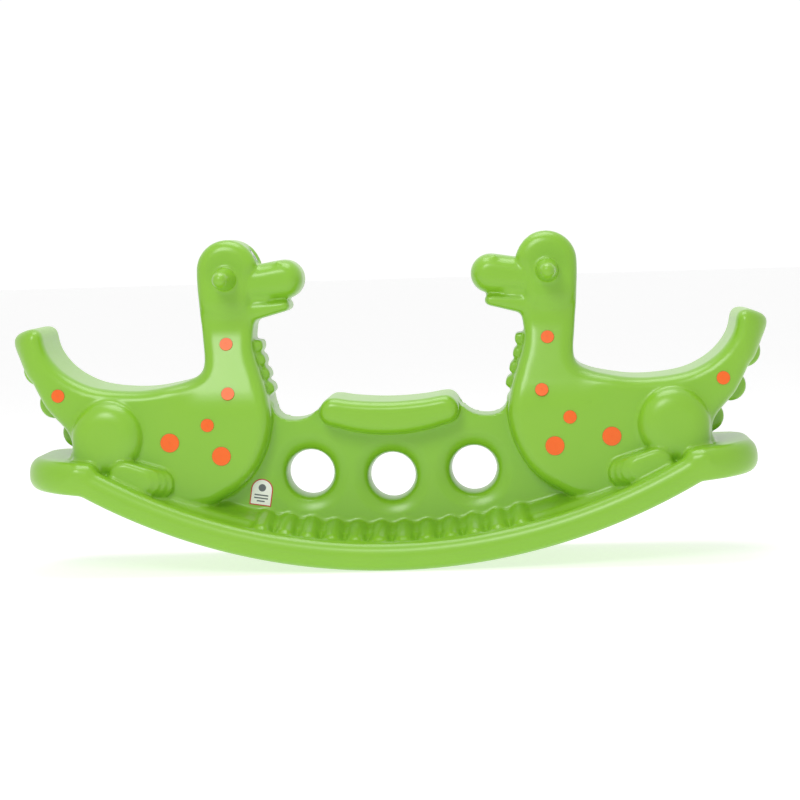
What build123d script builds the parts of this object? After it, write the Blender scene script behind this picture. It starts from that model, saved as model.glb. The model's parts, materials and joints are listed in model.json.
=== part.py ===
from build123d import *
from math import atan2, cos, degrees, radians, sin
import os

os.makedirs("parts", exist_ok=True)

# Frame: X along the seesaw, Y across it, Z up, floor at Z = 0, parting plane at Y = 0.
wall = 5                      # rotomoulded skin
hollow_round = 7

# Rocker base
rocker_radius = 1233          # the two rails roll on this arc
rocker_reach = 31.3           # degrees from the middle to the heels
rail_height = 58
base_half_width = 185
rail_outer_round = 25
rail_inner_y = 160
rail_foot_y = 132             # inner edge of the running surface
underside_recess = 14
ledge_top = 82                # ledge height above the running surface, at the web
heel_start_x = 603
heel_start_z = 161
heel_tilt = 5
heel_thickness = 62
heel_length = 126
heel_corner = 124
heel_round = 23

# Foot ribs on the ledge
rib_pitch = 46.5
rib_count_per_side = 6
rib_radius = 21
rib_inner_y = 52
rib_outer_y = 140

# Middle web with its three portholes
web_half_width = 56
web_round = 12
port_radius = 49
port_pitch = 164
port_height = 184.5
middle_port_height = 175

# Middle seat
seat_half_width = 108
seat_half_length = 139
seat_end_z = 338
seat_end_round = 29
seat_dish = 10
seat_belly = 17
seat_round = 21

# Dinosaur: torso, neck, head, thigh and foot
torso_half_width = 108
torso_round = 14
neck_half_width = 58
neck_low_z = 330
neck_high_z = 475
head_half_width = 66
dome_x, dome_z, dome_radius = 318, 595, 61
snout_x, snout_z, snout_radius = 207, 574, 39.5
head_round = 18
jaw_round = 9
fin_half_width = 40
fin_round = 10
tail_fins = ((711, 413, 31), (683, 346, 28.5), (634, 289, 28))
thigh_x, thigh_z, thigh_radius = 560, 272, 71
thigh_half_width = 130
thigh_round = 28
foot_half_width = 150
foot_round = 16

# Handle pegs
peg_x, peg_z = 320, 578
peg_root_y = 55
peg_root_radius = 23
peg_tip_radius = 16
peg_tip_y = 166

# Recess in the forehead for the eye decal
brow_angle = 30               # the recess faces the snout, this far above level
brow_depth = 6
brow_width = 84
brow_length = 38
decal_thickness = 0.6

# Spot plugs: place on the side of a dinosaur and head radius
small_spot = 13.2
large_spot = 18.8
spot_proud = 1.4
spot_sunk = 1.2
spot_fit = 0.15
spot_gate = 2
spot_shank = 9
spot_barb = 1
spots = {
    "left": {
        "neck": (322, 449, small_spot),
        "chest": (318, 352, small_spot),
        "flank": (360, 291, small_spot),
        "belly": (334, 229, large_spot),
        "hip": (436, 258, large_spot),
        "tail": (656, 357, small_spot),
    },
    "right": {
        "neck": (317, 446, small_spot),
        "chest": (303, 344, small_spot),
        "flank": (357, 289, small_spot),
        "belly": (326, 233, large_spot),
        "hip": (438, 249, large_spot),
        "tail": (658, 358, small_spot),
    },
}

# Approval label on the web
label_x, label_z = -262, 150
label_width = 44
label_height = 54
label_tilt = -9
label_thickness = 0.5

# Vent plug under the base
vent_radius = 11
vent_shank = 7

rocker_axis = Axis((0, 0, rocker_radius), (0, -1, 0))
neck_taper = (torso_half_width - neck_half_width) / (neck_high_z - neck_low_z)
brow_normal = Vector(-cos(radians(brow_angle)), 0, sin(radians(brow_angle)))
brow_plane = Plane(origin=Vector(dome_x, 0, dome_z) + brow_normal * (dome_radius - brow_depth),
                   x_dir=(sin(radians(brow_angle)), 0, cos(radians(brow_angle))), z_dir=brow_normal)


def panel(outline, half_width, edge_round):
    # A moulded panel on both sides of the parting plane, with rounded rims.
    with BuildPart() as slab:
        with BuildSketch(Plane.XZ):
            add(outline)
        extrude(amount=half_width, both=True)
        rims = slab.edges().group_by(Axis.Y)
        fillet(rims[0] + rims[-1], edge_round)
    return slab.part


def pill(x1, z1, r1, x2, z2, r2):
    # Two circles and the straight lines that wrap them.
    with BuildSketch() as shape:
        with Locations((x1, z1)):
            Circle(r1)
        with Locations((x2, z2)):
            Circle(r2)
        make_hull()
    return shape.sketch


def disc(x, z, radius):
    with BuildSketch() as shape:
        with Locations((x, z)):
            Circle(radius)
    return shape.sketch


# The hollow follows the outlines' points with straight runs, which offset cleanly.
def torso_outline(inset):
    curve = Polyline if inset else Spline
    with BuildSketch() as shape:
        with BuildLine():
            chest = curve((237, 318), (235, 300), (240, 258), (262, 208), (300, 160), (350, 118))
            keel = ThreePointArc(chest @ 1, (500, 136), (640, 190))
            rump = Polyline(keel @ 1, (640, 232), (637, 252))
            under_tail = curve(rump @ 1, (655, 297), (683, 329), (711, 382), (740, 446))
            tail_tip = curve(under_tail @ 1, (751, 468), (741, 483), (722, 495))
            tail_top = Line(tail_tip @ 1, (706, 496))
            tail_end = ThreePointArc(tail_top @ 1, (694, 491), (688, 479))
            saddle = curve(tail_end @ 1, (676, 437), (640, 397), (590, 372), (500, 362.5), (410, 375.5),
                            (372, 394))
            neck_base = Polyline(saddle @ 1, (350, 320), chest @ 0)
        make_face()
        if inset:
            offset(amount=-inset)
    return shape.sketch


def neck_outline(inset):
    curve = Polyline if inset else Spline
    with BuildSketch() as shape:
        with BuildLine():
            throat = curve((258, 500), (270, 470), (267, 425), (251, 375), (237, 325))
            root = Polyline(throat @ 1, (252, 310), (370, 300), (367, 410))
            nape = curve(root @ 1, (371, 460), (378, 540), (379, 590))
            crown = Polyline(nape @ 1, (330, 610), (285, 560), throat @ 0)
        make_face()
        if inset:
            offset(amount=-inset)
    return shape.sketch


def tapered_neck(inset):
    # The neck narrows evenly from the shoulders to the head.
    with BuildPart() as slab:
        with BuildSketch(Plane.XZ):
            add(neck_outline(inset))
        extrude(amount=torso_half_width, both=True)
        with BuildSketch(Plane.YZ.offset(200)):
            with BuildLine():
                Polyline((0, 290), (torso_half_width - inset, 290),
                         (torso_half_width - inset, neck_low_z),
                         (neck_half_width - inset, neck_high_z), (neck_half_width - inset, 640), (0, 640))
                mirror(about=Plane.YZ)
            make_face()
        extrude(amount=200, mode=Mode.INTERSECT)
    return slab.part


def web_outline(inset):
    curve = Polyline if inset else Spline
    with BuildSketch() as shape:
        with BuildLine():
            floor = ThreePointArc((0, 40), (175, 53), (345, 90))
            side = Line(floor @ 1, (345, 330))
            shoulder = Line(side @ 1, (240, 330))
            saddle = curve(shoulder @ 1, (226, 304), (194, 293.5), (160, 302), (143, 320))
            top = Polyline(saddle @ 1, (120, 320), (0, 310))
            mirror(about=Plane.YZ)
        make_face()
        with Locations((port_pitch, port_height), (-port_pitch, port_height), (0, middle_port_height)):
            Circle(port_radius - web_round / 3, mode=Mode.SUBTRACT)
        if inset:
            offset(amount=-inset)
    return shape.sketch


def seat_outline(inset):
    # A dished bolster, the same rounding all the way round a thin curved core.
    end_x = seat_half_length - seat_end_round
    core_z = seat_end_z - seat_end_round
    with BuildSketch() as shape:
        with BuildLine():
            top = ThreePointArc((-end_x, core_z), (0, core_z - seat_dish), (end_x, core_z))
            ThreePointArc(top @ 1, (0, core_z - seat_belly), top @ 0)
        make_face()
        offset(amount=seat_end_round - inset)
    return shape.sketch


def rocker(inset):
    # One half of the base, turned about the centre of the rocking arc.
    with BuildPart() as half:
        with BuildSketch(Plane.YZ):
            with BuildLine():
                underside = Polyline((0, underside_recess), (rail_foot_y - 14, underside_recess),
                                     (rail_foot_y, 0), (base_half_width - rail_outer_round, 0))
                low = RadiusArc(underside @ 1, (base_half_width, rail_outer_round), -rail_outer_round)
                side = Line(low @ 1, (base_half_width, rail_height - rail_outer_round))
                high = RadiusArc(side @ 1, (rail_inner_y, rail_height), -rail_outer_round)
                Polyline(high @ 1, (web_half_width, ledge_top), (0, ledge_top))
                mirror(about=Plane.YZ)
            make_face()
            if inset:
                offset(amount=-inset)
        revolve(axis=rocker_axis, revolution_arc=rocker_reach)
    return half.part


def heel(inset):
    # Rounded end of the base, where the arc gives way to a flat heel.
    tilt = radians(heel_tilt)
    heel_plane = Plane(origin=(heel_start_x, 0, heel_start_z), x_dir=(cos(tilt), 0, sin(tilt)),
                       z_dir=(-sin(tilt), 0, cos(tilt)))
    with BuildPart() as pad:
        with BuildSketch(heel_plane.offset(inset)):
            with Locations((heel_length - heel_corner, base_half_width - heel_corner),
                           (heel_length - heel_corner, heel_corner - base_half_width)):
                Circle(heel_corner - inset)
            make_hull()
            with Locations((2 * inset, 0)):
                Rectangle(heel_length, 2 * base_half_width, align=(Align.MIN, Align.CENTER), mode=Mode.INTERSECT)
        extrude(amount=heel_thickness - 2 * inset)
        flats = pad.faces().sort_by(Axis.Z)
        fillet(flats[0].edges() + flats[-1].edges(), heel_round - inset)
    return pad.part


def ledge_ribs(inset):
    # Half-round foot ribs across the ledge, spaced along the rocking arc.
    slope = degrees(atan2(ledge_top - rail_height, rail_inner_y - web_half_width))
    reach = rib_outer_y - rib_inner_y
    height = ledge_top - rib_radius / 2 - 3
    with BuildPart() as ribs:
        for index in range(rib_count_per_side):
            turn = degrees((index + 0.5) * rib_pitch / (rocker_radius - ledge_top))
            for side in (1, -1):
                place = Location((0, 0, rocker_radius)) * Location((0, 0, 0), (0, -turn, 0))
                place = place * Location((0, side * rib_inner_y, height - rocker_radius), (-side * (90 + slope), 0, 0))
                with Locations(place):
                    Cylinder(rib_radius - inset, reach, align=(Align.CENTER, Align.CENTER, Align.MIN))
                with Locations(place * Location((0, 0, reach))):
                    Sphere(rib_radius - inset)
    return ribs.part


def neck_scales():
    # Four raised scales down the front of the neck.
    with BuildPart() as scales:
        for x, z, lean in ((266, 443, 4), (262, 414, 12), (254, 385, 17), (246, 356, 18)):
            with BuildSketch(Plane.XZ):
                with Locations(Location((x, z), lean * -1)):
                    RectangleRounded(22, 24, 5)
            extrude(amount=fin_half_width, both=True)
    return scales.part


def peg(inset):
    # A handle grip on each side of the head, moulded in with the shell.
    shaft = peg_tip_y - peg_tip_radius - peg_root_y
    with BuildPart() as grips:
        for side in (1, -1):
            root = Plane(origin=(peg_x, side * peg_root_y, peg_z), z_dir=(0, side, 0))
            with Locations(root.location):
                Cone(peg_root_radius - inset, peg_tip_radius - inset, shaft,
                     align=(Align.CENTER, Align.CENTER, Align.MIN))
            with Locations(root.offset(shaft).location):
                Sphere(peg_tip_radius - inset)
    return grips.part


def dinosaur(inset):
    torso = panel(torso_outline(inset), torso_half_width - inset, hollow_round if inset else torso_round)
    dome = panel(disc(dome_x, dome_z, dome_radius - inset), head_half_width - inset, head_round - inset)
    snout = panel(pill(snout_x, snout_z, snout_radius - inset, 290, 564, 36 - inset), head_half_width - inset,
                  head_round - inset)
    jaw = panel(pill(206, 522, 11.5 - inset, 290, 510, 18 - inset), head_half_width - 4 - inset,
                jaw_round - inset)
    thigh = panel(pill(thigh_x, thigh_z, thigh_radius - inset, 585, 230, 45 - inset), thigh_half_width - inset,
                  thigh_round - inset)
    foot = panel(pill(459, 178, 29 - inset, 525, 196, 31 - inset), foot_half_width - inset, foot_round - inset)
    with BuildPart() as animal:
        add(torso)
        add(tapered_neck(inset))
        add(dome)
        add(snout)
        add(jaw)
        add(thigh)
        add(foot)
        add(peg(inset))
        for x, z, radius in tail_fins:
            add(panel(disc(x, z, radius - inset), fin_half_width - inset, fin_round - inset))
        if not inset:
            add(neck_scales())
        with Locations(brow_plane.offset(-inset).location):
            Box(brow_length + 2 * inset, brow_width + 2 * inset, 60,
                align=(Align.CENTER, Align.CENTER, Align.MIN), mode=Mode.SUBTRACT)
    return animal.part


def moulding(inset):
    # The whole moulded body; with an inset it is the hollow inside the skin.
    with BuildPart() as body:
        add(dinosaur(inset))
        add(rocker(inset))
        add(heel(inset))
        add(ledge_ribs(inset))
        mirror(about=Plane.YZ)
        add(panel(web_outline(inset), web_half_width - inset, web_round - inset))
        add(panel(seat_outline(inset), seat_half_width - inset, seat_round - inset))
    return body.part


def spot_plane(side, face, spot):
    # Where a spot plug meets the skin; on the neck the skin leans back.
    x, z, radius = spots[side][spot]
    turn = 1 if side == "right" else -1
    outward = -1 if face == "front" else 1
    if z > neck_low_z and x < 340:
        half_width = torso_half_width - neck_taper * (z - neck_low_z)
        normal = Vector(0, outward, neck_taper).normalized()
    else:
        half_width = torso_half_width
        normal = Vector(0, outward, 0)
    return Plane(origin=(turn * x, outward * half_width, z), x_dir=(1, 0, 0), z_dir=normal)


places = [(side, face, spot) for side in spots for face in ("front", "back") for spot in spots[side]]

outer_skin = moulding(0)
hollow = moulding(wall)

with BuildPart() as plug_seats:
    for side, face, spot in places:
        plane = spot_plane(side, face, spot)
        with BuildSketch(plane):
            Circle(spots[side][spot][2] + spot_fit)
        extrude(amount=-spot_sunk - spot_fit)
        with BuildSketch(plane):
            Circle(spots[side][spot][2] / 2 + spot_fit)
        extrude(amount=-2 * wall)
    with BuildSketch(Plane.XY):
        Circle(vent_shank + spot_fit)
    extrude(amount=underside_recess + 2 * wall)

with BuildPart() as body_shell:
    add(outer_skin)
    add(hollow, mode=Mode.SUBTRACT)
    add(plug_seats.part, mode=Mode.SUBTRACT)
body_shell.part.label = "body_shell"
export_step(body_shell.part, "parts/body_shell.step")

for side, face, spot in places:
    radius = spots[side][spot][2]
    plane = spot_plane(side, face, spot)
    with BuildPart() as plug:
        with BuildSketch(plane.offset(-spot_sunk)):
            Circle(radius)
        extrude(amount=spot_sunk + spot_proud)
        rim = plug.faces().sort_by(Axis(plane.origin, plane.z_dir))[-1].edges()
        fillet(rim, spot_proud / 2)
        with BuildSketch(plane.offset(spot_proud)):
            Circle(spot_gate)
        extrude(amount=-spot_proud / 3, mode=Mode.SUBTRACT)
        with BuildSketch(plane.offset(-spot_sunk)):
            Circle(radius / 2)
        extrude(amount=-spot_shank)
        with BuildSketch(plane.offset(-spot_sunk - spot_shank)):
            Circle(radius / 2 + spot_barb)
        extrude(amount=spot_barb)
    plug.part.label = f"{side}_{face}_{spot}_spot"
    export_step(plug.part, f"parts/{plug.part.label}.step")

for side in ("left", "right"):
    plane = brow_plane if side == "right" else Plane(
        origin=(-brow_plane.origin.X, 0, brow_plane.origin.Z),
        x_dir=(-brow_plane.x_dir.X, 0, brow_plane.x_dir.Z),
        z_dir=(-brow_plane.z_dir.X, 0, brow_plane.z_dir.Z))
    with BuildPart() as eye_decal:
        with BuildSketch(plane):
            RectangleRounded(brow_length - 6, brow_width - 8, 8)
        extrude(amount=decal_thickness)
    eye_decal.part.label = f"{side}_eye_decal"
    export_step(eye_decal.part, f"parts/{eye_decal.part.label}.step")

with BuildPart() as approval_label:
    with BuildSketch(Plane(origin=(label_x, -web_half_width, label_z), x_dir=(1, 0, 0), z_dir=(0, -1, 0))):
        with Locations(Location((0, 0), label_tilt)):
            with Locations((0, (label_height - label_width) / 2)):
                Circle(label_width / 2)
            with Locations((0, (label_height - label_width) / 2)):
                Rectangle(label_width, label_height - label_width / 2, align=(Align.CENTER, Align.MAX))
    extrude(amount=label_thickness)
approval_label.part.label = "approval_label"
export_step(approval_label.part, "parts/approval_label.step")

with BuildPart() as vent_plug:
    with BuildSketch(Plane.XY.offset(underside_recess)):
        Circle(vent_radius)
    extrude(amount=-3)
    fillet(vent_plug.faces().sort_by(Axis.Z)[0].edges(), 1)
    with BuildSketch(Plane.XY.offset(underside_recess)):
        Circle(vent_shank)
    extrude(amount=wall + 4)
    with BuildSketch(Plane.XY.offset(underside_recess + wall + 0.5)):
        Circle(vent_shank + spot_barb)
    extrude(amount=1.5)
vent_plug.part.label = "vent_plug"
export_step(vent_plug.part, "parts/vent_plug.step")
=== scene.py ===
import bmesh
import bpy
import json
from math import acos, atan2, cos, hypot, pi, radians, sin, sqrt
from mathutils import Matrix, Vector
from mathutils.kdtree import KDTree

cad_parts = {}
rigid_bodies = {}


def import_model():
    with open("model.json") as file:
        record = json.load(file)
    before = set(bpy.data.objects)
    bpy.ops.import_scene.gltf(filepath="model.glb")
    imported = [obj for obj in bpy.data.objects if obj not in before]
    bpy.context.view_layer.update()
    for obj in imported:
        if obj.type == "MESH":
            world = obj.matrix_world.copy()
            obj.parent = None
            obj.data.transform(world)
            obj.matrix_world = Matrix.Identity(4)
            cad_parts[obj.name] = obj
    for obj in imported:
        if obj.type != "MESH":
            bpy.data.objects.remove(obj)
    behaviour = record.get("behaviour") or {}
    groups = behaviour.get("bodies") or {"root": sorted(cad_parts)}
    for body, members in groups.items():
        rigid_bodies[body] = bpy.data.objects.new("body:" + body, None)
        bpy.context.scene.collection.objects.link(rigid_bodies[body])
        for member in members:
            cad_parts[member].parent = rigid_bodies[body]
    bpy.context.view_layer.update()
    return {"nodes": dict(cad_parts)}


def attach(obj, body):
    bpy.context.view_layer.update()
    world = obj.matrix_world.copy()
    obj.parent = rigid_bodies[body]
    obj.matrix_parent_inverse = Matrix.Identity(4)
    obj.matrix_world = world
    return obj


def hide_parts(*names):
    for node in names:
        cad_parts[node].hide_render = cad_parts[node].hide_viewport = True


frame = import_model()
scene = bpy.context.scene
mm = 0.001
nodes = frame["nodes"]

# Shapes are in millimetres: X along the seesaw, Y across it, Z up from the floor.
# One dinosaur is shaped on the right and mirrored to the left.
skin = {
    "voxel": 3.7,          # cell of the remesh that runs the shapes together
    "softPasses": 7,       # smoothing after it, which rounds every inner corner
    "triangles": 190000,
}
grid = {
    "rimRows": (0.6, 1.2, 2.2, 3.5),   # widths of the rows of faces laid inside a soft rim
    "cell": 9,                         # grid laid over a soft panel
    "rimMarks": 5,                     # marks on each edge of the outline, to measure from
}


def flowing(points, steps=6):
    # A smooth closed line through the points.
    line = []
    for index in range(len(points)):
        a, b, c, d = (Vector(points[(index + shift) % len(points)]) for shift in (-1, 0, 1, 2))
        for step in range(steps):
            t = step / steps
            line.append(b + (c - a) * t / 2 + (2 * a - 5 * b + 4 * c - d) * t ** 2 / 2
                        + (3 * b - a - 3 * c + d) * t ** 3 / 2)
    return line


def arc(x, z, radius, start, end, steps=20):
    # Points on a round stretch, from one angle to another in degrees.
    turns = [radians(start + (end - start) * step / steps) for step in range(steps + 1)]
    return [Vector((x + radius * cos(turn), z + radius * sin(turn))) for turn in turns]


def belt(x1, z1, r1, x2, z2, r2):
    # The line round two circles, as a belt would lie on them.
    lean = atan2(z2 - z1, x2 - x1) * 180 / pi
    gap = acos((r1 - r2) / hypot(x2 - x1, z2 - z1)) * 180 / pi
    return arc(x1, z1, r1, lean + gap, lean + 360 - gap) + arc(x2, z2, r2, lean - gap, lean + gap)


def raised(outline, height):
    # The outline on the parting plane, drawn out toward the front by the height, and its front face.
    bm = bmesh.new()
    foot = bm.faces.new([bm.verts.new((point[0] * mm, 0, point[1] * mm)) for point in outline])
    bm.normal_update()
    if foot.normal.y > 0:
        foot.normal_flip()
    grown = bmesh.ops.extrude_face_region(bm, geom=[foot])["geom"]
    top = next(item for item in grown if isinstance(item, bmesh.types.BMFace))
    bmesh.ops.translate(bm, verts=top.verts[:], vec=(0, -height * mm, 0))
    bm.normal_update()
    return bm, top


def openedAtParting(bm):
    for face in [face for face in bm.faces if all(abs(vert.co.y) < 1e-7 for vert in face.verts)]:
        bmesh.ops.delete(bm, geom=[face], context="FACES_ONLY")


def slab(outline, half, roundIn, roundOut, steps=6):
    # A panel on both sides of the parting plane, its rims rounded by roundIn in the side view and roundOut across.
    bm, top = raised(outline, half - roundOut)
    for step in range(steps):
        before, after = pi / 2 * step / steps, pi / 2 * (step + 1) / steps
        bmesh.ops.inset_individual(bm, faces=[top], use_even_offset=True,
                                   thickness=roundIn * (cos(before) - cos(after)) * mm)
        bmesh.ops.translate(bm, verts=top.verts[:], vec=(0, roundOut * (sin(before) - sin(after)) * mm, 0))
    openedAtParting(bm)
    bmesh.ops.mirror(bm, geom=bm.verts[:] + bm.edges[:] + bm.faces[:], axis="Y", merge_dist=1e-6)
    return closed(bm)


def pillow(outline, half, roundIn, roundOut):
    # A panel like a slab, but its rims follow the true distance from the outline, so tight corners stay clean.
    bm, top = raised(outline, half)
    for width in grid["rimRows"]:
        bmesh.ops.inset_individual(bm, faces=[top], use_even_offset=True, thickness=width * mm)
    openedAtParting(bm)
    for axis, spread in ((0, [point[0] for point in outline]), (2, [point[1] for point in outline])):
        way = Vector((axis == 0, 0, axis == 2))
        for place in range(int(min(spread)) + grid["cell"], int(max(spread)), grid["cell"]):
            bmesh.ops.bisect_plane(bm, geom=bm.verts[:] + bm.edges[:] + bm.faces[:], plane_co=way * place * mm,
                                   plane_no=way)
    marks = grid["rimMarks"]
    rim = [a.lerp(b, step / marks) for a, b in zip(outline, outline[1:] + outline[:1]) for step in range(marks)]
    tree = KDTree(len(rim))
    for index, point in enumerate(rim):
        tree.insert((point[0], 0, point[1]), index)
    tree.balance()
    for vert in bm.verts:
        if vert.co.y < -(half - 1) * mm:
            away = tree.find((vert.co.x / mm, 0, vert.co.z / mm))[2]
            left = max(1 - away / roundIn, 0)
            vert.co.y = -(half - roundOut * (1 - sqrt(max(1 - left * left, 0)))) * mm
    bmesh.ops.mirror(bm, geom=bm.verts[:] + bm.edges[:] + bm.faces[:], axis="Y", merge_dist=1e-6)
    return closed(bm)


def closed(bm):
    bmesh.ops.remove_doubles(bm, verts=bm.verts, dist=1e-6)
    bmesh.ops.recalc_face_normals(bm, faces=bm.faces)
    return bm


def turned(profile, x, z, loop=False):
    # A turned shape about a line across the seesaw, from pairs of distance from that line and place across.
    bm = bmesh.new()
    ring = [bm.verts.new(((x + radius) * mm, across * mm, z * mm)) for radius, across in profile]
    pairs = list(zip(ring, ring[1:])) + ([(ring[-1], ring[0])] if loop else [])
    edges = [bm.edges.new(pair) for pair in pairs]
    bmesh.ops.spin(bm, geom=ring + edges, cent=(x * mm, 0, z * mm), axis=(0, 1, 0), angle=2 * pi, steps=64,
                   use_merge=True)
    return closed(bm)


def ball(x, y, z, sizes):
    bm = bmesh.new()
    place = Matrix.Translation((x * mm, y * mm, z * mm)) @ Matrix.Diagonal((*(size * mm for size in sizes), 1))
    bmesh.ops.create_uvsphere(bm, u_segments=24, v_segments=16, radius=1, matrix=place)
    return bm


def gather(bm, whole):
    shape = bpy.data.meshes.new("shape")
    bm.to_mesh(shape)
    bm.free()
    whole.from_mesh(shape)
    bpy.data.meshes.remove(shape)


body = {
    "half": 108, "roundIn": 23, "roundOut": 30,
    "neckHalf": 58, "neckFrom": 330, "neckTo": 475,    # the neck narrows between these heights
    "neckEase": 30,                                    # and bends into that narrowing over this much
    "neckBack": 374, "saddleFrom": 452,                # ahead of the first it narrows fully, behind the second not
    "tailFrom": 696, "tailTo": 753, "tailTip": 0.62,   # the tail rounds off across between these
    "outline": (
        (262, 500), (267, 488), (270, 470), (271, 450), (267, 425), (259, 400), (251, 375), (244, 352),
        (239, 328), (235, 300), (238, 275), (244, 250), (252, 229), (264, 206), (280, 184), (302, 164), (330, 146),
        (370, 126), (430, 122), (500, 136), (570, 162), (628, 196), (641, 232), (636, 250), (638, 268), (645, 284),
        (655, 297), (668, 311), (683, 329), (694, 348), (703, 366), (711, 382), (722, 395), (731, 414), (738, 431),
        (745, 446), (749.5, 459), (749, 470), (740, 480), (724, 487), (708, 490.5), (695, 487), (688, 477),
        (684, 457), (676, 437), (660, 415), (640, 397), (615, 382), (590, 372), (560, 366), (530, 363), (500, 362),
        (470, 364), (440, 369), (412, 375), (395, 381), (382, 387), (372, 397), (368, 412), (368, 430), (370.5, 455),
        (373, 485), (376, 515), (377, 545), (372, 575), (340, 580), (300, 572), (276, 535)),
    "fins": ((706, 406, 33), (678, 338, 31), (633, 278, 31)), "finHalf": 40, "finIn": 8, "finOut": 10,
    "scales": ((265, 443, 4), (261, 414, 12), (253, 385, 17), (245, 356, 18)),
    "scaleHalf": 40, "scaleTall": 23, "scaleDeep": 26, "scaleIn": 3, "scaleOut": 6,
}
leg = {
    "thigh": (560, 272, 71, 585, 230, 45), "thighHalf": 141, "thighIn": 42, "thighOut": 34,
    "foot": (459, 178, 29, 525, 196, 31), "footRound": 14, "toeRound": 6, "toeLift": 0.27,
    "toes": ((0, 124), (12, 134), (23, 143), (32, 150)),      # how far back each step of the toes starts, its half
}
head = {
    "dome": (318, 595, 61), "half": 67, "roundIn": 23, "roundOut": 24,
    "jowl": ((266, 582), (270, 560), (271, 535), (273, 515), (281, 499), (300, 490), (325, 486), (354, 491),
             (370, 505), (376, 530), (378.5, 562)),
    "neckAt": 532, "neckOver": 44, "neckIn": 0.13,     # it narrows into the neck below this height
    "browTurn": 150, "browDepth": 6.4, "browHalf": 43, "browThick": 60, "browLong": 90,
    "snout": (207, 574, 39.5, 290, 564, 36), "snoutHalf": 61, "snoutIn": 29, "snoutOut": 38,
    "mouth": (236, 544, 13, 290, 535, 28), "mouthHalf": 52, "mouthIn": 12, "mouthOut": 18,
    "jaw": (205.5, 521.5, 11.3, 290, 508, 20), "jawHalf": 58, "jawIn": 9, "jawOut": 18,
    "nostril": (214, 44, 603), "nostrilSizes": (9, 10, 9),
}
peg = {
    "x": 320, "z": 578,
    "profile": ((0, 45), (27, 45), (27, 62), (25.5, 67.5), (21.2, 68), (21.6, 73), (22, 80), (20.4, 100), (18.6, 124),
                (16.6, 146), (14.6, 155), (11, 161), (6, 164.6), (0, 165.7)),
}
web = {
    "half": 56, "roundIn": 11, "roundOut": 14,
    "rightEdge": ((0, 300), (100, 300), (128, 312), (145, 312), (155, 305), (165, 299), (178, 295), (194, 293.5),
                  (212, 296), (225, 303.5), (233, 316), (238, 332), (290, 345), (345, 330), (345, 90), (260, 66),
                  (175, 52), (90, 44), (0, 41)),
    "ports": ((0, 175), (164, 184.5), (-164, 184.5)),
    "portCut": 78, "portDeep": 70,
    "portProfile": ((84, 54), (79, 55.6), (74, 55), (67, 52.4), (60, 49), (54, 44.6), (49.5, 38), (47, 28),
                    (45.6, 14), (45, 0)),
}
seat = {
    "half": 108, "roundIn": 19, "roundOut": 22,
    "rightEdge": ((0, 328), (40, 329.4), (78, 333), (106, 337.6), (122, 336), (134, 325), (139, 309), (134, 293),
                  (122, 284), (106, 280), (78, 272), (40, 265.4), (0, 263)),
}
base = {
    "radius": 1233, "reach": 31.3,
    "section": ((0, 14), (118, 14), (124, 12), (128, 6), (134, 1), (140, 0), (158, 0), (169, 2), (178, 8), (183, 16),
                (185, 26), (185, 33), (183, 42), (178, 50), (171, 55.5), (160, 58.4), (150, 56.5), (141, 52.5),
                (131, 52), (120, 57), (108, 66), (74, 74), (62, 79), (54, 86), (0, 90)),
    "ribPitch": 46.5, "ribsEachSide": 6, "ribRadius": 21, "ribRise": 70, "ribFrom": (48, 68), "ribTo": (140, 47.5),
}
heel = {
    "x": 603, "z": 161, "tilt": 5, "thick": 65, "long": 126, "corner": 124, "half": 185,
    "roundIn": 22, "roundOut": 28, "lead": -26, "leadRound": 26,
    "knuckle": (613, 200, 26), "knuckleIn": 16, "knuckleOut": 24,   # it fills the dip where the rail meets the heel
}


def eased(past, ease):
    # How far past a place, bending in smoothly from this much before it to as much after.
    if past < -ease:
        return 0
    return past if past > ease else (past + ease) ** 2 / (4 * ease)


def bodyShapes(whole):
    torso = pillow(flowing(body["outline"]), body["half"], body["roundIn"], body["roundOut"])
    least = body["neckHalf"] / body["half"]
    run = body["neckTo"] - body["neckFrom"]
    for vert in torso.verts:
        x, z = vert.co.x / mm, vert.co.z / mm
        rise = (eased(z - body["neckFrom"], body["neckEase"]) - eased(z - body["neckTo"], body["neckEase"] / 2)) / run
        back = min(max((x - body["neckBack"]) / (body["saddleFrom"] - body["neckBack"]), 0), 1)
        end = min(max((x - body["tailFrom"]) / (body["tailTo"] - body["tailFrom"]), 0), 1)
        vert.co.y *= 1 - (1 - least) * rise * (1 - back * back * (3 - 2 * back))
        vert.co.y *= sqrt(1 - (1 - body["tailTip"] ** 2) * end * end)
    gather(torso, whole)
    for x, z, radius in body["fins"]:
        gather(slab(arc(x, z, radius, 0, 350, 35), body["finHalf"], body["finIn"], body["finOut"]), whole)
    for x, z, lean in body["scales"]:
        tall, deep = body["scaleTall"] / 2, body["scaleDeep"] / 2
        corners = [(-deep, -tall + 5), (-deep + 3, -tall + 1), (-deep + 8, -tall), (deep, -tall), (deep, tall),
                   (-deep + 8, tall), (-deep + 3, tall - 1), (-deep, tall - 5)]
        turn = Matrix.Rotation(radians(-lean), 2)
        outline = [turn @ Vector(corner) + Vector((x, z)) for corner in corners]
        gather(slab(outline, body["scaleHalf"], body["scaleIn"], body["scaleOut"]), whole)


def legShapes(whole):
    gather(slab(belt(*leg["thigh"]), leg["thighHalf"], leg["thighIn"], leg["thighOut"], 9), whole)
    x1, z1, r1, x2, z2, r2 = leg["foot"]
    for back, half in leg["toes"]:
        last = half == leg["toes"][-1][1]
        rounding = leg["footRound"] if last else leg["toeRound"]
        gather(slab(belt(x1 + back, z1 + back * leg["toeLift"], r1, x2, z2, r2), half, rounding, rounding), whole)


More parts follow.
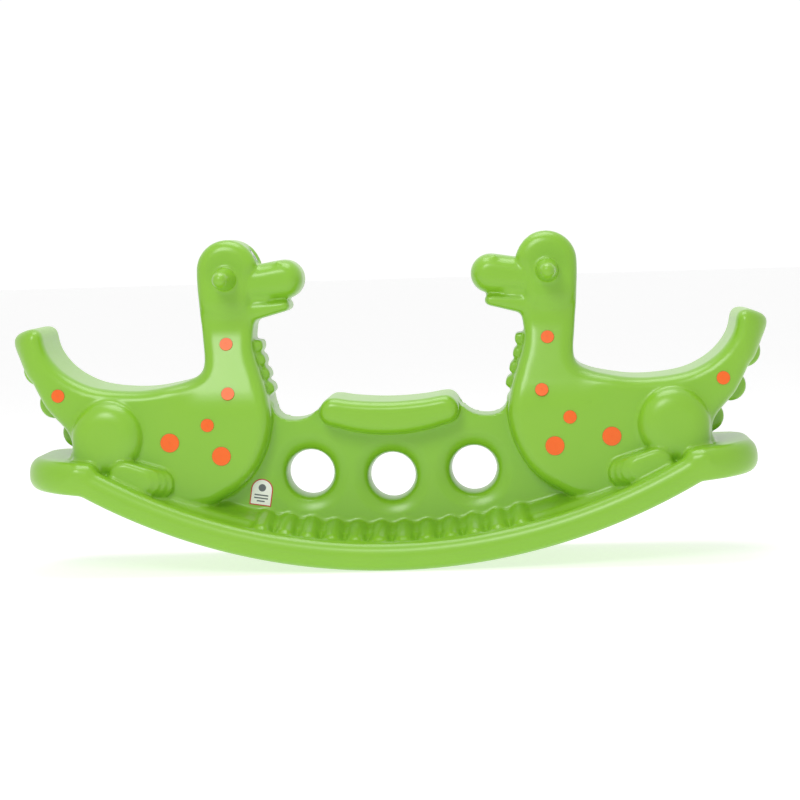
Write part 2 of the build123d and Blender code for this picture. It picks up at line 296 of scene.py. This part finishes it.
def headShapes(whole):
    x, z, radius = head["dome"]
    skull = pillow(flowing([*head["jowl"], *arc(x, z, radius, 0, 170, 10)], 4), head["half"], head["roundIn"],
                   head["roundOut"])
    for vert in skull.verts:
        low = min(max((head["neckAt"] - vert.co.z / mm) / head["neckOver"], 0), 1)
        vert.co.y *= 1 - head["neckIn"] * low * low * (3 - 2 * low)
    skull = asPiece(skull, "skull")
    slope = radians(head["browTurn"])
    out = radius - head["browDepth"] + head["browThick"] / 2
    recess = bmesh.new()
    sizes = Matrix.Diagonal((head["browThick"] * mm, 2 * head["browHalf"] * mm, head["browLong"] * mm, 1))
    place = (Matrix.Translation(((x + out * cos(slope)) * mm, 0, (z + out * sin(slope)) * mm))
             @ Matrix.Rotation(-slope, 4, "Y") @ sizes)
    bmesh.ops.create_cube(recess, size=1, matrix=place)
    carve(skull, recess)
    whole.from_mesh(skull.data)
    bpy.data.objects.remove(skull)
    for side in (-1, 1):
        gather(ball(head["nostril"][0], side * head["nostril"][1], head["nostril"][2], head["nostrilSizes"]), whole)
        profile = [(radius, side * across) for radius, across in peg["profile"]]
        gather(turned(profile, peg["x"], peg["z"]), whole)
    for name, steps in (("snout", 10), ("mouth", 6), ("jaw", 6)):
        gather(slab(belt(*head[name]), head[name + "Half"], head[name + "In"], head[name + "Out"], steps), whole)


def heelShapes(whole):
    end, inner = heel["long"] - heel["corner"], heel["half"] - heel["corner"]
    near, side = heel["lead"] + heel["leadRound"], heel["half"] - heel["leadRound"]
    outline = (arc(near, -side, heel["leadRound"], 180, 270) + arc(end, -inner, heel["corner"], -90, 0)
               + arc(end, inner, heel["corner"], 0, 90) + arc(near, side, heel["leadRound"], 90, 180))
    pad = slab(outline, heel["thick"] / 2, heel["roundIn"], heel["roundOut"])
    lay = Matrix.Rotation(radians(-heel["tilt"]), 4, "Y") @ Matrix.Translation((0, 0, heel["thick"] / 2 * mm))
    place = Matrix.Translation((heel["x"] * mm, 0, heel["z"] * mm)) @ lay @ Matrix.Rotation(radians(-90), 4, "X")
    bmesh.ops.transform(pad, matrix=place, verts=pad.verts)
    gather(closed(pad), whole)
    gather(slab(arc(*heel["knuckle"], 0, 350, 35), heel["half"], heel["knuckleIn"], heel["knuckleOut"]), whole)


def ribShapes(whole):
    centre = Vector((0, 0, base["radius"] * mm))
    for index in range(base["ribsEachSide"]):
        turn = -(index + 0.5) * base["ribPitch"] / (base["radius"] - base["ribRise"])
        for side in (-1, 1):
            start = Vector((0, side * base["ribFrom"][0], base["ribFrom"][1])) * mm
            end = Vector((0, side * base["ribTo"][0], base["ribTo"][1])) * mm
            run = end - start
            bm = bmesh.new()
            along = Matrix.Translation((start + end) / 2) @ run.to_track_quat("Z", "Y").to_matrix().to_4x4()
            thick = base["ribRadius"] * mm
            bmesh.ops.create_cone(bm, cap_ends=True, segments=32, radius1=thick, radius2=thick, depth=run.length,
                                  matrix=along)
            bmesh.ops.create_uvsphere(bm, u_segments=32, v_segments=20, radius=thick, matrix=Matrix.Translation(end))
            bmesh.ops.rotate(bm, verts=bm.verts, cent=centre, matrix=Matrix.Rotation(turn, 3, "Y"))
            gather(bm, whole)


def bothSides(edge):
    return [*edge, *[(-x, z) for x, z in edge[-2:0:-1]]]


def webShapes(whole):
    panel = slab(flowing(bothSides(web["rightEdge"]), 4), web["half"], web["roundIn"], web["roundOut"])
    piece = asPiece(panel, "web")
    for x, z in web["ports"]:          # straight holes first, which the flared rims then fill to their own bore
        cut, deep = web["portCut"], web["portDeep"]
        carve(piece, turned(((0, -deep), (cut, -deep), (cut, deep), (0, deep)), x, z))
        rim = [*web["portProfile"], *[(radius, -across) for radius, across in web["portProfile"][-2::-1]]]
        gather(turned(rim, x, z, loop=True), whole)
    whole.from_mesh(piece.data)
    bpy.data.objects.remove(piece)
    gather(slab(flowing(bothSides(seat["rightEdge"]), 5), seat["half"], seat["roundIn"], seat["roundOut"]), whole)


def rockerShape(whole):
    bm = bmesh.new()
    section = base["section"]
    ring = [*section, *[(-y, z) for y, z in section[-2:0:-1]]]
    face = bm.faces.new([bm.verts.new((0, y * mm, z * mm)) for y, z in ring])
    centre = (0, 0, base["radius"] * mm)
    bmesh.ops.rotate(bm, verts=bm.verts, cent=centre, matrix=Matrix.Rotation(radians(base["reach"]), 3, "Y"))
    bmesh.ops.spin(bm, geom=[face, *face.edges, *face.verts], cent=centre, axis=(0, 1, 0),
                   angle=radians(-2 * base["reach"]), steps=120)
    gather(closed(bm), whole)


def evaluated(piece):
    graph = bpy.context.evaluated_depsgraph_get()
    return bpy.data.meshes.new_from_object(piece.evaluated_get(graph), depsgraph=graph)


def asPiece(bm, name):
    mesh = bpy.data.meshes.new(name)
    bm.to_mesh(mesh)
    bm.free()
    piece = bpy.data.objects.new(name, mesh)
    scene.collection.objects.link(piece)
    return piece


def carve(piece, bm):
    cutter = asPiece(bm, "cutter")
    hole = piece.modifiers.new("hole", "BOOLEAN")
    hole.solver = "EXACT"
    hole.object = cutter
    mesh = evaluated(piece)
    piece.modifiers.clear()
    piece.data = mesh
    bpy.data.objects.remove(cutter)


def dropSpecks(skinMesh):
    # Fusing leaves pinhead bubbles where two rims meet, so only the biggest joined skin is kept.
    bm = bmesh.new()
    bm.from_mesh(skinMesh)
    waiting = set(bm.faces)
    skins = []
    while waiting:
        joined, edge = [], [waiting.pop()]
        while edge:
            face = edge.pop()
            joined.append(face)
            beside = {other for side in face.edges for other in side.link_faces} & waiting
            waiting -= beside
            edge += beside
        skins.append(joined)
    skins.sort(key=len)
    bmesh.ops.delete(bm, geom=[face for joined in skins[:-1] for face in joined], context="FACES")
    bm.to_mesh(skinMesh)
    bm.free()
    print("specks dropped:", len(skins) - 1)


whole = bmesh.new()
bodyShapes(whole)
legShapes(whole)
headShapes(whole)
heelShapes(whole)
ribShapes(whole)
bmesh.ops.mirror(whole, geom=whole.verts[:] + whole.edges[:] + whole.faces[:], axis="X", merge_dist=1e-9)
bmesh.ops.recalc_face_normals(whole, faces=whole.faces)
webShapes(whole)
rockerShape(whole)
print("shapes laid out:", len(whole.faces), "faces")

moulding = asPiece(whole, "moulded_body")
fuse = moulding.modifiers.new("fuse", "REMESH")
fuse.mode = "VOXEL"
fuse.voxel_size = skin["voxel"] * mm
relax = moulding.modifiers.new("relax", "SMOOTH")
relax.factor = 0.5
relax.iterations = skin["softPasses"]
moulding.data = evaluated(moulding)
moulding.modifiers.clear()
thin = moulding.modifiers.new("thin", "DECIMATE")
thin.ratio = skin["triangles"] / (2 * len(moulding.data.polygons))
moulding.data = evaluated(moulding)
moulding.modifiers.clear()
dropSpecks(moulding.data)
moulding.data.name = "moulded_body"
moulding.data.shade_smooth()
print("moulded body:", len(moulding.data.polygons), "faces")


class Flow:
    # A value on its way between nodes: maths on it adds Math nodes.
    def __init__(self, finish, socket):
        self.finish = finish
        self.socket = socket

    def maths(self, operation, first, second=0.0):
        return self.finish.node("ShaderNodeMath", {"operation": operation}, {0: first, 1: second})

    def __add__(self, other):
        return self.maths("ADD", self, other)

    def __sub__(self, other):
        return self.maths("SUBTRACT", self, other)

    def __rsub__(self, other):
        return self.maths("SUBTRACT", other, self)

    def __mul__(self, other):
        return self.maths("MULTIPLY", self, other)

    def __truediv__(self, other):
        return self.maths("DIVIDE", self, other)

    def __lt__(self, other):
        return self.maths("LESS_THAN", self, other)

    def __gt__(self, other):
        return self.maths("GREATER_THAN", self, other)

    def __abs__(self):
        return self.maths("ABSOLUTE", self)

    def root(self):
        return self.maths("SQRT", self)

    def most(self, other):
        return self.maths("MAXIMUM", self, other)

    __radd__ = __add__
    __rmul__ = __mul__


class Finish:
    def __init__(self, name):
        self.material = bpy.data.materials.new(name)
        self.material.use_nodes = True
        self.tree = self.material.node_tree
        self.shader = self.tree.nodes["Principled BSDF"]

    def node(self, kind, settings, values, output=0):
        made = self.tree.nodes.new(kind)
        for name, value in settings.items():
            setattr(made, name, value)
        self.fill(made, values)
        return Flow(self, made.outputs[output])

    def fill(self, made, values):
        for name, value in values.items():
            if isinstance(value, Flow):
                self.tree.links.new(value.socket, made.inputs[name])
            else:
                made.inputs[name].default_value = value

    def place(self, centre=(0, 0, 0), turn=(0, 0, 0)):
        point = self.node("ShaderNodeTexCoord", {}, {}, "Object")
        return self.node("ShaderNodeMapping", {"vector_type": "TEXTURE"},
                         {"Vector": point, "Location": centre, "Rotation": turn})

    def parts(self, vector):
        split = self.node("ShaderNodeSeparateXYZ", {}, {"Vector": vector})
        return [Flow(self, split.socket.node.outputs[axis]) for axis in "XYZ"]

    def noise(self, vector, scale, detail=2.0, rough=0.5):
        return self.node("ShaderNodeTexNoise", {}, {"Vector": vector, "Scale": scale, "Detail": detail,
                                                    "Roughness": rough})

    def mix(self, factor, first, second):
        made = self.tree.nodes.new("ShaderNodeMix")
        made.data_type = "RGBA"
        self.fill(made, {0: factor, 6: first, 7: second})
        return Flow(self, made.outputs[2])

    def bump(self, height, strength, distance):
        return self.node("ShaderNodeBump", {}, {"Height": height, "Strength": strength, "Distance": distance})


def tone(red, green, blue):
    # A colour given the way a paint chart gives it, 0 to 255.
    def straight(value):
        value /= 255
        return value / 12.92 if value <= 0.04045 else ((value + 0.055) / 1.055) ** 2.4
    return (straight(red), straight(green), straight(blue), 1)


plastic = {
    "green": tone(136, 190, 42), "deepGreen": tone(128, 186, 40),
    "roughness": 0.3, "grain": 420, "grainDepth": 0.00018,
}
# rim is a darker orange painted on each spot's rounded edge as shade, standing in for the thin groove round it
orange = {"light": tone(250, 108, 12), "dark": tone(240, 97, 8), "rim": tone(170, 66, 14), "roughness": 0.36}
eyes = {"apart": 18, "wide": 13, "tall": 12, "rim": 0.2, "pupil": 5.4, "drop": 3}
labelPrint = {"x": -262, "z": 150, "lean": -9, "half": 22, "foot": -27, "crown": 5, "border": 2.2,
              "badge": 7.5, "badgeUp": 9, "bars": ((-6, 14), (-12, 14), (-18, 8)), "barHalf": 1.4,
              "ink": tone(96, 102, 108)}


def greenPlastic():
    finish = Finish("green_polyethylene")
    point = finish.place()
    cloud = finish.noise(point, 9, 3)
    grain = finish.noise(point, plastic["grain"], 2, 0.6)
    dapple = finish.noise(point, 60, 3)
    finish.fill(finish.shader, {
        "Base Color": finish.mix(cloud, plastic["green"], plastic["deepGreen"]),
        "Roughness": plastic["roughness"] - 0.03 + dapple * 0.06,
        "Normal": finish.bump(grain + dapple * 0.8, 0.25, plastic["grainDepth"]),
        "IOR": 1.5,
        "Specular IOR Level": 0.5,
        "Coat Weight": 0.22,
        "Coat Roughness": 0.26,
    })
    return finish.material


def orangePlastic():
    finish = Finish("orange_plastic")
    point = finish.place()
    cloud = finish.noise(point, 30, 2)
    grain = finish.noise(point, 700, 2)
    facing = abs(finish.parts(finish.node("ShaderNodeNewGeometry", {}, {}, "Normal"))[1])
    face = finish.mix(cloud, orange["light"], orange["dark"])
    finish.fill(finish.shader, {
        # Edge faces that turn away from the front get the rim colour: painted shade of the groove round each spot
        "Base Color": finish.mix(facing < 0.9, face, orange["rim"]),
        "Roughness": orange["roughness"] - 0.02 + grain * 0.05,
        "Normal": finish.bump(grain, 0.2, 0.0001),
        "IOR": 1.5,
    })
    return finish.material


def eyeFilm(side):
    # Two plain cartoon eyes printed on a pale film, laid along the slope of the forehead.
    finish = Finish(f"{side}_eye_film")
    x, z, radius = head["dome"]
    out = radius - 6
    way = 1 if side == "right" else -1
    slope = radians(head["browTurn"])
    centre = (way * (x + out * cos(slope)) * mm, 0, (z + out * sin(slope)) * mm)
    lean = radians(-60 if side == "right" else -120)
    along, across, _ = finish.parts(finish.place(centre, (0, lean, 0)))
    beside = (abs(across) / mm - eyes["apart"]) / eyes["wide"]
    up = along / (mm * eyes["tall"])
    ball = (beside * beside + up * up).root()
    look = along / mm + eyes["drop"]
    inward = abs(across) / mm - eyes["apart"] + 2
    pupil = (inward * inward + look * look).root() / eyes["pupil"]
    glintUp = look - 2.2
    glintIn = inward + 1.6
    glint = (glintIn * glintIn + glintUp * glintUp).root()
    print_ = finish.mix(ball < 1 + eyes["rim"], tone(118, 190, 60), tone(24, 24, 26))
    print_ = finish.mix(ball < 1, print_, tone(238, 238, 240))
    print_ = finish.mix(pupil < 1, print_, tone(20, 20, 24))
    print_ = finish.mix(glint < 1.5, print_, tone(245, 245, 245))
    grain = finish.noise(finish.place(), 500, 2)
    finish.fill(finish.shader, {
        "Base Color": print_,
        "Roughness": 0.3 + grain * 0.06,
        "Normal": finish.bump(grain, 0.1, 0.0001),
    })
    return finish.material


def arched(finish, x, z, half, foot, crown):
    # 1 inside a shape with a flat foot and a round top.
    over = (z - crown).most(0.0)
    top = (x * x + over * over).root() < half
    return top * (z > foot)


def labelFilm():
    # A plain printed label: a red border, a round spot and three bars that say nothing.
    finish = Finish("printed_label")
    centre = (labelPrint["x"] * mm, -web["half"] * mm, labelPrint["z"] * mm)
    x, _, z = finish.parts(finish.place(centre, (0, radians(-labelPrint["lean"]), 0)))
    x, z = x / mm, z / mm
    edge = labelPrint["border"]
    inner = arched(finish, x, z, labelPrint["half"] - edge, labelPrint["foot"] + edge, labelPrint["crown"])
    print_ = finish.mix(inner, tone(196, 52, 40), tone(244, 243, 240))
    badge = (x * x + (z - labelPrint["badgeUp"]) * (z - labelPrint["badgeUp"])).root() < labelPrint["badge"]
    print_ = finish.mix(badge, print_, labelPrint["ink"])
    for row, width in labelPrint["bars"]:
        bar = (abs(x) < width) * (abs(z - row) < labelPrint["barHalf"])
        print_ = finish.mix(bar, print_, labelPrint["ink"])
    grain = finish.noise(finish.place(), 600, 2)
    finish.fill(finish.shader, {
        "Base Color": print_,
        "Roughness": 0.32 + grain * 0.08,
        "Normal": finish.bump(grain, 0.15, 0.0001),
    })
    return finish.material


def darkRubber():
    finish = Finish("dark_rubber")
    grain = finish.noise(finish.place(), 300, 3)
    finish.fill(finish.shader, {
        "Base Color": finish.mix(grain, tone(34, 36, 38), tone(50, 52, 54)),
        "Roughness": 0.55 + grain * 0.1,
        "Normal": finish.bump(grain, 0.2, 0.0002),
    })
    return finish.material


def dress(node, material):
    for slot in nodes[node].material_slots:
        slot.material = material


moulding.data.materials.append(greenPlastic())
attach(moulding, "root")
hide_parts("body_shell")

spotPlastic = orangePlastic()
for node in nodes:
    if node.endswith("_spot"):
        dress(node, spotPlastic)
dress("left_eye_decal", eyeFilm("left"))
dress("right_eye_decal", eyeFilm("right"))
dress("approval_label", labelFilm())
dress("vent_plug", darkRubber())
print("materials done")

studio = {
    "world": 1.03, "softer": 0.56,          # brightness of the white room, and how much less of it matt surfaces get
    "floor": tone(205, 205, 205), "floorGlow": 0.64,
    "overhead": (0.0, 0.2, 3.2, 2.2, 40), "front": (-1.1, -3.7, 3.3, 2.0, 70),
    "camera": (281.7, -4850, 660.2), "aim": (23.2, -100, 330.8), "roll": -1.743, "lens": 108.7,
}


def areaLight(name, x, y, z, size, power):
    lamp = bpy.data.lights.new(name, "AREA")
    lamp.shape = "DISK"
    lamp.size = size
    lamp.energy = power
    lit = bpy.data.objects.new(name, lamp)
    lit.location = (x, y, z)
    lit.rotation_euler = (Vector((0, 0, 0.3)) - lit.location).to_track_quat("-Z", "Y").to_euler()
    scene.collection.objects.link(lit)


areaLight("overhead", *studio["overhead"])
areaLight("front", *studio["front"])
scene.world = bpy.data.worlds.new("studio")
scene.world.use_nodes = True
room = scene.world.node_tree
rays = room.nodes.new("ShaderNodeLightPath")
dim = room.nodes.new("ShaderNodeMath")
dim.operation = "MULTIPLY_ADD"
dim.inputs[1].default_value = -studio["softer"]
dim.inputs[2].default_value = studio["world"]
room.links.new(rays.outputs["Is Diffuse Ray"], dim.inputs[0])
room.links.new(dim.outputs[0], room.nodes["Background"].inputs["Strength"])
room.nodes["Background"].inputs["Color"].default_value = (1, 1, 1, 1)
scene.view_settings.view_transform = "Standard"

sheet = bmesh.new()
bmesh.ops.create_grid(sheet, x_segments=1, y_segments=1, size=30)
floor = asPiece(sheet, "floor")
paper = Finish("pale_floor")
paper.fill(paper.shader, {
    "Base Color": paper.mix(paper.noise(paper.place(), 2, 2), studio["floor"], tone(208, 208, 208)),
    "Roughness": 0.9,
    "Specular IOR Level": 0.1,
    "Emission Color": (1, 1, 1, 1),
    "Emission Strength": studio["floorGlow"],
})
floor.data.materials.append(paper.material)

eyePoint = Vector(studio["camera"]) * mm
gaze = Vector(studio["aim"]) * mm - eyePoint
lens = bpy.data.cameras.new("camera")
lens.lens = studio["lens"]
lens.sensor_width = 36
lens.clip_end = 100
camera = bpy.data.objects.new("camera", lens)
camera.matrix_world = (Matrix.Translation(eyePoint) @ gaze.to_track_quat("-Z", "Y").to_matrix().to_4x4()
                       @ Matrix.Rotation(radians(studio["roll"]), 4, "Z"))
scene.collection.objects.link(camera)
bpy.context.scene.camera = camera
print("studio done")
